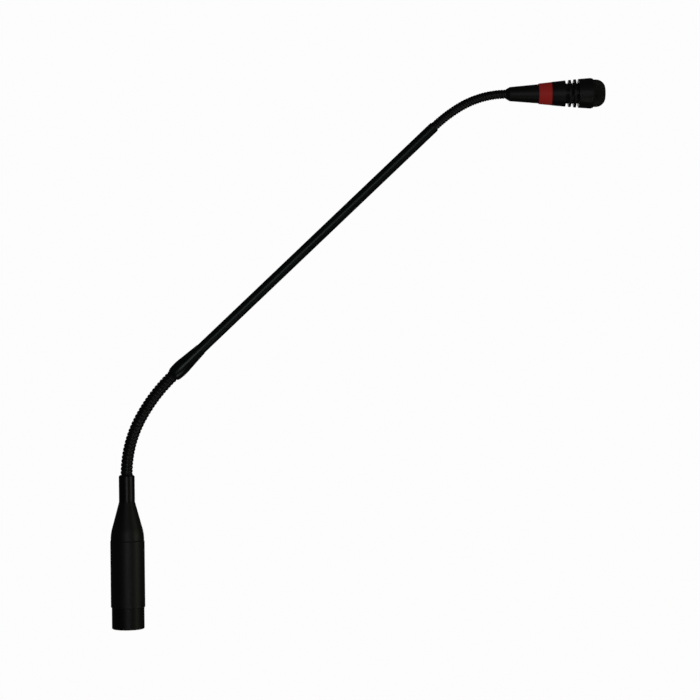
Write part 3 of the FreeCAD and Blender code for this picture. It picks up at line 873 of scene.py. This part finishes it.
@dataclass
class Handle:
    """The barrel, the ogive collar, the neck's ferrule and its nut."""

    barrel_top: float = 51.5
    barrel_radius: float = 10.0
    collar_top: float = 74.0
    collar_top_radius: float = 4.7
    shoulder: float = 65.5
    shank_radius: float = 3.5
    ferrule_radius: float = 4.65
    ferrule_foot: float = 61.0
    ferrule_top: float = 89.8
    socket_radius: float = 3.65
    socket_floor: float = 80.0

    def collar(self) -> Turning:
        """The ogive collar."""
        top, edge = self.barrel_top, self.barrel_radius - 0.25
        points = outline(
            (7.6, top - 5.5), (8.85, top - 5.5), (8.85, top), (edge, top),
            ((9.46, top + 4.5), (8.5, top + 8.5)), (self.collar_top_radius, self.collar_top),
            (self.shank_radius + 0.05, self.collar_top), (self.shank_radius + 0.05, self.shoulder),
            (6.1, self.shoulder), (6.1, top + 6.5), (7.6, top + 6.5), steps=16,
        )
        return Turning(
            "collar_ogive", "tapered_collar", "handle_paint", Palette.HANDLE, points, 0.0, Body.BASE, 0.1
        )

    def ferrule(self) -> Turning:
        """The neck's socket with its shank."""
        radius, top = self.ferrule_radius, self.ferrule_top
        points = outline(
            (1.5, self.ferrule_foot), (self.shank_radius, self.ferrule_foot),
            (self.shank_radius, self.collar_top), (radius, self.collar_top), (radius, top - 0.7),
            (radius - 0.7, top), (self.socket_radius, top), (self.socket_radius, self.socket_floor),
            (1.5, self.socket_floor),
        )
        return Turning(
            "ferrule_socket", "neck_ferrule", "ferrule_metal", Palette.FERRULE, points, 0.0, Body.BASE, 0.15
        )

    def build(self) -> None:
        """Makes the handle's pieces."""
        repaint(Palette.HANDLE, "handle_barrel")
        repaint(Palette.BRASS, "collar_nut")
        self.collar().make()
        self.ferrule().make()


# ------------------------------------------------------------------ necks


@dataclass
class FlexibleNeck:
    """One flexible neck: a wire with four rounded corners, widest near its crest, over a round spring.

    It is made in one length for each hinge, and each length is laid along the spine's curve over its hinge.
    Turns is the number of windings in one length, and root and tip are how far the neck reaches into its
    sockets.
    """

    name: str
    start: float
    length: float
    hinges: int
    turns: float
    crest: float
    valley: float
    apex: float
    spring: float
    spring_wire: float
    root: float
    tip: float
    bodies: tuple[Body, Body]
    finish: Finish
    steps: int = 48

    @property
    def spacing(self) -> float:
        """Length of one stretch."""
        return self.length / self.hinges

    @property
    def pitch(self) -> float:
        """Distance between two turns of the wire."""
        return self.spacing / self.turns

    def chain(self) -> list[str]:
        """The bodies along the neck, in order."""
        links = [f"{self.name}_link_{k:02d}" for k in range(1, self.hinges)]
        return [self.bodies[0].value, *links, self.bodies[1].value]

    def coil(self, name: str, low: float, high: float) -> bpy.types.Object:
        """Both wires between two heights above the neck's start.

        Args:
            name: The piece's name.
            low: Lower end.
            high: Upper end.

        Returns:
            The coils, laid along the spine.
        """
        blank = Blank()
        angle = low / self.pitch * FULL_TURN
        sweep = (high - low) / self.pitch * FULL_TURN
        steps = max(2, round((high - low) / self.pitch * self.steps))
        half = self.pitch * 0.475
        corners = [(self.crest, 0.0), (self.valley, half), (self.apex, 0.0), (self.valley, -half)]
        wire = blank.ring(corners, self.pitch * 0.13)
        core = blank.disc(self.spring_wire, Vector((self.spring, 0.0, self.pitch / 2)), 10, True)
        for ring in (wire, core):
            bmesh.ops.rotate(
                blank.bm, verts=ring, cent=(0, 0, 0), matrix=Matrix.Rotation(angle, 3, "Z")
            )
            blank.sweep(ring, sweep, high - low, steps)
        bmesh.ops.translate(blank.bm, verts=blank.bm.verts, vec=(0, 0, low))
        return blank.finish(name, self.finish, along(self.start), weighted=False)

    def cable(self, name: str, low: float, high: float, steps: int) -> bpy.types.Object:
        """The signal cable between two heights above the neck's start.

        Args:
            name: The piece's name.
            low: Lower end.
            high: Upper end.
            steps: Rings along it.

        Returns:
            The cable, laid along the spine.
        """
        blank = Blank()
        ring = blank.disc(CABLE_RADIUS, Vector((0.0, 0.0, low)), 20, False)
        blank.sweep(ring, 0.0, high - low, steps)
        return blank.finish(name, Palette.CABLE, along(self.start), weighted=False)

    def build(self) -> None:
        """Makes the held ends and every stretch, each curved along the spine."""
        chain = self.chain()
        for end, low, high, body in (
            ("root", -self.root, 0.0, chain[0]),
            ("tip", self.length, self.length + self.tip, chain[-1]),
        ):
            piece = self.coil(f"{self.name}_coil_{end}", low, high)
            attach(piece, body)
            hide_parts(f"{self.name}_neck_{end}")
        for k in range(self.hinges):
            low, high = k * self.spacing, (k + 1) * self.spacing
            start = SPINE.point(self.start + low)
            end = SPINE.point(self.start + high)
            coil = self.coil(f"{self.name}_coil_{k + 1}", low, high)
            wire = self.cable(f"{self.name}_cable_{k + 1}", low, high, 12)
            for piece, slot in ((coil, "neck_wire"), (wire, "cable_jacket")):
                tuple(end)
                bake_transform(piece)
            if k + 1 < self.hinges:
                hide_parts(f"{self.name}_neck_link_{k + 1:02d}")


def lower_neck() -> FlexibleNeck:
    """The thick neck between the ferrule and the stem's sleeve."""
    return FlexibleNeck(
        name="lower", start=LOWER_NECK_START, length=STEM_START - LOWER_NECK_START, hinges=7,
        turns=4.25, crest=3.6, valley=3.32, apex=2.2, spring=2.42, spring_wire=0.68, root=10.0, tip=6.0,
        bodies=(Body.BASE, Body.STEM), finish=Palette.LOWER_WIRE,
    )


def upper_neck() -> FlexibleNeck:
    """The thin neck between the stem and the head."""
    return FlexibleNeck(
        name="upper", start=UPPER_NECK_START, length=HEAD_START - UPPER_NECK_START, hinges=5,
        turns=6.0, crest=2.7, valley=2.5, apex=1.65, spring=1.82, spring_wire=0.5, root=2.2, tip=6.0,
        bodies=(Body.STEM, Body.HEAD), finish=Palette.UPPER_WIRE,
    )


@dataclass
class SignalCable:
    """The cable's three straight stretches, in the handle, the stem and the head."""

    radius: float = CABLE_RADIUS

    def build(self) -> None:
        """Makes the stretches, which replace the cable's nodes with the necks' own lengths."""
        for name, low, high, body, node in (
            ("cable_in_handle", BOARD_TOP, LOWER_NECK_START, Body.BASE, "cable_lower_run"),
            ("cable_in_stem", STEM_START, UPPER_NECK_START, Body.STEM, "cable_stem_run"),
            ("cable_in_head", HEAD_START, CAPSULE_BACK, Body.HEAD, "cable_upper_run"),
        ):
            blank = Blank()
            ring = blank.disc(self.radius, Vector((0.0, 0.0, 0.0)), 24, False)
            blank.sweep(ring, 0.0, high - low, 8)
            piece = blank.finish(name, Palette.CABLE, rigid(low), weighted=False)
            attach(piece, body.value)
            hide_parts(node)


# ------------------------------------------------------------------ stem


@dataclass
class Stem:
    """The tapered sleeve, the rigid tube and the bush at its upper end."""

    start: float = STEM_START
    length: float = UPPER_NECK_START - STEM_START
    radius: float = 3.1
    bore: float = 2.3
    sleeve_length: float = 22.5
    sleeve_radius: float = 4.6
    foot: float = 8.0
    rim: float = 3.0

    def sleeve(self) -> Turning:
        """The tapered sleeve over the neck's end and the tube's foot."""
        radius = self.sleeve_radius
        points = outline(
            (3.65, 0.0), (3.8, 0.0), (radius - 0.3, 1.3), ((radius, 5.0), (radius - 0.25, 10.0)),
            (self.radius + 0.2, self.sleeve_length), (self.radius + 0.05, self.sleeve_length),
            (self.radius + 0.05, self.foot), (3.65, self.foot), steps=12,
        )
        return Turning(
            "sleeve_taper", "joint_sleeve", "sleeve_metal", Palette.SLEEVE, points, self.start, Body.STEM, 0.1
        )

    def tube(self) -> Turning:
        """The rigid tube."""
        top = self.length - self.rim
        points = [(self.bore, self.foot), (self.radius, self.foot), (self.radius, top), (self.bore, top)]
        return Turning(
            "stem_pipe", "stem_tube", "stem_metal", Palette.STEM, points, self.start, Body.STEM, 0.06
        )

    def bush(self) -> Turning:
        """The bush that holds the upper neck, with its visible rim."""
        rim, spigot, socket = self.length - self.rim, self.bore - 0.05, 2.75
        points = [
            (1.5, rim - 6.0), (spigot, rim - 6.0), (spigot, rim), (self.radius, rim),
            (self.radius, self.length - 0.25), (self.radius - 0.25, self.length), (socket, self.length),
            (socket, self.length - 2.2), (1.5, self.length - 2.2),
        ]
        return Turning(
            "stem_rim", "stem_upper_bush", "stem_metal", Palette.STEM, points, self.start, Body.STEM, 0.06
        )

    def build(self) -> None:
        """Makes the stem's pieces and dresses the bush inside."""
        repaint(Palette.BRASS, "stem_lower_bush")
        for part in (self.sleeve(), self.tube(), self.bush()):
            part.make()


# ------------------------------------------------------------------ head


@dataclass
class Head:
    """The capsule head: rear shell, red ring, slotted barrel, front ring and domed grille."""

    start: float = HEAD_START
    ring: Point = (19.1, 26.8)
    ring_bore: float = 4.9
    front: Point = (6.85, 8.4)
    barrel_end: float = 42.5
    grooves: tuple[Point, ...] = ((35.6, 1.9), (38.7, 1.7), (41.6, 1.5))
    groove_floor: float = 6.0
    chamber: float = 5.3
    ports: int = 6
    port_half_angle: float = 16.9
    cap_end: float = 50.9
    dome_foot: float = 50.1
    weave: float = 0.72
    weave_wire: float = 0.2

    def turning(self, name: str, node: str, slot: str, finish: Finish, points: Sequence[Point]) -> Turning:
        """A turned piece of the head."""
        return Turning(name, node, slot, finish, points, self.start, Body.HEAD, 0.12)

    def rear_shell(self) -> Turning:
        """The slim tapered casing behind the ring."""
        points = [
            (2.75, 0.0), (2.85, 0.0), (4.15, 2.3), (5.6, self.ring[0]), (4.85, self.ring[0]),
            (4.85, self.ring[0] + 1.4), (3.4, self.ring[0] + 1.4), (3.4, 6.0), (2.75, 6.0),
        ]
        return self.turning("rear_casing", "head_rear_shell", "head_paint", Palette.HEAD, points)

    def red_ring(self) -> Turning:
        """The red ring."""
        low, high = self.ring
        points = [
            (self.ring_bore, low), (5.88, low), (6.0, low + 0.12), (6.75, high - 0.12), (6.63, high),
            (self.ring_bore, high),
        ]
        return self.turning("indicator_ring", "led_ring_lens", "ring_red", Palette.RING, points)

    def radius_at(self, height: float) -> float:
        """The front barrel's outer radius at a height."""
        share = (height - self.ring[1]) / (self.barrel_end - self.ring[1])
        return self.front[0] + share * (self.front[1] - self.front[0])

    def slotted_barrel(self) -> None:
        """The front barrel with its sound grooves and the ports in their floors."""
        spigot = self.ring_bore - 0.05
        points: list[Point] = [(spigot, 25.4), (spigot, 26.8), (self.front[0], 26.8)]
        inner: list[Point] = []
        for middle, width in self.grooves:
            low, high = middle - width / 2, middle + width / 2
            points += [(self.radius_at(low), low), (self.groove_floor, low)]
            points += [(self.groove_floor, low + 0.15), (self.groove_floor, high - 0.15)]
            points += [(self.groove_floor, high), (self.radius_at(high), high)]
            inner += [(self.chamber, low + 0.15), (self.chamber, high - 0.15)]
        points += [(self.front[1], 42.5), (7.45, 42.5), (7.45, 46.0), (6.5, 46.0), (6.5, 43.6)]
        points += [(self.chamber, 43.6), *reversed(inner), (self.chamber, 31.0), (3.4, 31.0), (3.4, 25.4)]
        part = self.turning("port_barrel", "slotted_barrel", "head_paint", Palette.HEAD, points)
        blank = Blank()
        blank.lathe(points)
        for row, (middle, width) in enumerate(self.grooves):
            centres = [30.0 * (row % 2) + 360.0 * k / self.ports for k in range(self.ports)]
            heights = (middle - width / 2 + 0.15, middle + width / 2 - 0.15)
            blank.windows((self.chamber, self.groove_floor), heights, centres, self.port_half_angle)
        blank.soften(0.1, 40.0, 2)
        part.declare(blank)

    def cloth(self) -> Turning:
        """The acoustic cloth sleeve behind the ports."""
        points = [(4.95, 33.6), (5.25, 33.6), (5.25, 43.4), (4.95, 43.4)]
        return self.turning("port_screen", "port_cloth", "acoustic_cloth", Palette.CLOTH, points)

    def front_ring(self) -> Turning:
        """The screwed front ring that clamps the grille."""
        points = [
            (7.5, self.barrel_end), (8.4, self.barrel_end), (8.9, 49.6), (8.45, self.cap_end),
            (8.1, self.cap_end), (8.1, self.dome_foot), (7.5, self.dome_foot),
        ]
        return self.turning("front_ring", "grille_ring", "head_paint", Palette.HEAD, points)

    def dome_line(self, inset: float) -> list[Point]:
        """The dome's outline from its rim to its pole, moved inwards by inset."""
        rim = 8.05 - inset
        edge, top, sag = 4.4 - inset * 0.5, 58.3 - inset, 0.35
        sphere = (edge**2 + sag**2) / (2 * sag)
        middle = (edge / 2, top - sphere + math.sqrt(sphere**2 - (edge / 2) ** 2))
        return outline(
            (rim, self.dome_foot), (rim, self.cap_end + 1.5),
            ((7.25 - inset * 0.8, self.cap_end + 4.6 - inset * 0.6), (edge, top - sag)),
            (middle, (0.0, top)), steps=24,
        )

    def grille(self) -> None:
        """The domed mesh: a flat net wrapped over the dome and given the thickness of its wires."""
        line = list(reversed(self.dome_line(0.16)))
        reach = [0.0]
        for first, second in zip(line, line[1:]):
            reach.append(reach[-1] + math.dist(first, second))
        limit = reach[-1] - 0.05
        cells = 2 * math.ceil(limit / self.weave)
        blank = Blank()
        bmesh.ops.create_grid(blank.bm, x_segments=cells, y_segments=cells, size=cells * self.weave / 2)
        outside = [vert for vert in blank.bm.verts if vert.co.length > limit]
        bmesh.ops.delete(blank.bm, geom=outside, context="VERTS")
        for vert in blank.bm.verts:
            travel, angle = vert.co.length, math.atan2(vert.co.y, vert.co.x)
            k = next(i for i in range(1, len(reach)) if reach[i] >= travel - 1e-9)
            share = (travel - reach[k - 1]) / (reach[k] - reach[k - 1])
            radius = line[k - 1][0] + share * (line[k][0] - line[k - 1][0])
            height = line[k - 1][1] + share * (line[k][1] - line[k - 1][1])
            vert.co = Vector((radius * math.cos(angle), radius * math.sin(angle), height))
        bmesh.ops.recalc_face_normals(blank.bm, faces=blank.bm.faces)
        bmesh.ops.wireframe(
            blank.bm, faces=blank.bm.faces, thickness=self.weave_wire, offset=0.0, use_replace=True,
            use_boundary=True, use_even_offset=True,
        )
        bmesh.ops.recalc_face_normals(blank.bm, faces=blank.bm.faces)
        self.turning("grille_net", "grille_mesh", "grille_metal", Palette.GRILLE, []).declare(blank)

    def foam(self) -> Turning:
        """The foam pad behind the mesh."""
        points = [point for point in self.dome_line(0.38) if point[1] > 51.6]
        points = [(0.0, 51.6), (points[0][0], 51.6), *points[:-1], (0.0, 57.92)]
        return self.turning("foam_pad", "grille_foam", "windscreen_foam", Palette.FOAM, points)

    def build(self) -> None:
        """Makes the head's pieces and dresses the ones inside."""
        for part in (self.rear_shell(), self.red_ring(), self.cloth(), self.front_ring(), self.foam()):
            part.make()
        self.slotted_barrel()
        self.grille()
        repaint(Palette.BRASS, "head_gland", "head_core")
        repaint(Palette.BOARD, "led_board")
        repaint(Palette.LEAD, "capsule_leads")
        repaint(Palette.LAMP, "ring_leds")
        repaint(Palette.RUBBER, "capsule_boot")
        repaint(Palette.CAPSULE, "capsule_can")
        repaint(Palette.CLOTH, "capsule_felt")


# ------------------------------------------------------------------ studio


@dataclass(frozen=True)
class Softbox:
    """One large soft light that looks at the microphone's middle."""

    name: str
    azimuth: float
    height: float
    distance: float
    size: Point
    power: float
    colour: Colour = (1.0, 1.0, 1.0)

    def build(self, target: Vector) -> None:
        """Hangs the light.

        Args:
            target: The point it looks at. Azimuth 0 is the camera's side, 90 is to its right.
        """
        lamp = bpy.data.lights.new(self.name, "AREA")
        lamp.shape = "RECTANGLE"
        lamp.size, lamp.size_y = self.size
        lamp.energy = self.power
        lamp.color = self.colour
        light = bpy.data.objects.new(self.name, lamp)
        swing = math.radians(self.azimuth)
        offset = Vector((math.sin(swing), -math.cos(swing), 0.0)) * self.distance
        light.location = target + offset + Vector((0.0, 0.0, self.height))
        light.rotation_euler = (target - light.location).to_track_quat("-Z", "Y").to_euler()
        light.visible_camera = False
        bpy.context.scene.collection.objects.link(light)


@dataclass
class Studio:
    """The camera, the plain backdrop, the floor and the lights."""

    target: Vector = field(default_factory=lambda: Vector((0.146, 0.0, 0.16)))
    backdrop: float = 0.98
    fill: float = 0.03
    boxes: tuple[Softbox, ...] = (
        Softbox("front_box", 0.0, 0.0, 1.35, (0.42, 0.55), 1.25, (0.95, 0.98, 1.0)),
        Softbox("side_box", 68.0, 0.0, 1.3, (0.55, 0.65), 1.5, (1.0, 0.96, 0.80)),
        Softbox("low_box", 25.0, -1.1, 0.8, (0.60, 0.40), 1.0, (1.0, 0.98, 0.95)),
        Softbox("back_box", 180.0, 0.1, 1.4, (0.40, 0.60), 2.2),
    )

    def world(self) -> None:
        """A white backdrop that lights the object only faintly."""
        world = bpy.data.worlds.new("backdrop")
        bpy.context.scene.world = world
        world.use_nodes = True
        tree = world.node_tree
        tree.nodes.clear()
        path = tree.nodes.new("ShaderNodeLightPath")
        seen = tree.nodes.new("ShaderNodeBackground")
        seen.inputs[0].default_value = (1.0, 1.0, 1.0, 1.0)
        seen.inputs[1].default_value = self.backdrop
        soft = tree.nodes.new("ShaderNodeBackground")
        soft.inputs[0].default_value = (0.95, 0.97, 1.0, 1.0)
        soft.inputs[1].default_value = self.fill
        mix = tree.nodes.new("ShaderNodeMixShader")
        output = tree.nodes.new("ShaderNodeOutputWorld")
        tree.links.new(path.outputs["Is Camera Ray"], mix.inputs[0])
        tree.links.new(soft.outputs[0], mix.inputs[1])
        tree.links.new(seen.outputs[0], mix.inputs[2])
        tree.links.new(mix.outputs[0], output.inputs[0])

    def floor(self) -> None:
        """A pale floor well below the plug."""
        bm = bmesh.new()
        bmesh.ops.create_grid(bm, x_segments=1, y_segments=1, size=1.5)
        bmesh.ops.translate(bm, verts=bm.verts, vec=(self.target.x, 0.0, -0.6))
        mesh = bpy.data.meshes.new("floor")
        bm.to_mesh(mesh)
        bm.free()
        graph = Graph("floor_paper", Grounding.FRAME)
        graph.set(
            Base_Color=(0.9, 0.9, 0.9, 1.0), Roughness=0.9, Emission_Color=(1.0, 1.0, 1.0, 1.0),
            Emission_Strength=0.9,
        )
        mesh.materials.append(graph.material)
        floor = bpy.data.objects.new("floor", mesh)
        bpy.context.scene.collection.objects.link(floor)
        floor.visible_diffuse = False
        floor.visible_glossy = False

    def camera(self) -> None:
        """A long lens level with the microphone's middle."""
        lens = bpy.data.cameras.new("camera")
        lens.lens = 105.5
        lens.sensor_width = 36.0
        view = bpy.data.objects.new("camera", lens)
        view.location = (0.1314, -1.2, 0.1615)
        view.rotation_mode = "XYZ"
        turn = Matrix.Rotation(math.radians(90.0), 4, "X") @ Matrix.Rotation(math.radians(-0.62), 4, "Z")
        view.rotation_euler = turn.to_euler()
        bpy.context.scene.collection.objects.link(view)
        bpy.context.scene.camera = view
        bpy.context.scene.view_settings.view_transform = "Standard"

    def build(self) -> None:
        """Sets up the studio."""
        self.camera()
        self.world()
        self.floor()
        for box in self.boxes:
            box.build(self.target)


def check_spine() -> None:
    """Reports how far the spine lies from the frame's hinges."""
    worst = 0.0
    for joint in frame["record"]["behaviour"]["joints"]:
        pivot = Vector(joint["pos_m"])
        is_lower = joint["name"].startswith("lower")
        low = LOWER_NECK_START if is_lower else UPPER_NECK_START
        high = STEM_START if is_lower else HEAD_START
        gaps = [(SPINE.point(low + k * (high - low) / 400) - pivot).length for k in range(401)]
        worst = max(worst, min(gaps))
    LOG.info("hinges lie within %.3f mm of the spine", worst / MM)


def main() -> None:
    """Builds the microphone and its studio, in order."""
    logging.basicConfig(level=logging.INFO, format="%(name)s: %(message)s")
    check_spine()
    Studio().build()
    PlugEnd().build()
    Handle().build()
    SignalCable().build()
    lower_neck().build()
    Stem().build()
    upper_neck().build()
    Head().build()


if __name__ == "__main__":
    main()
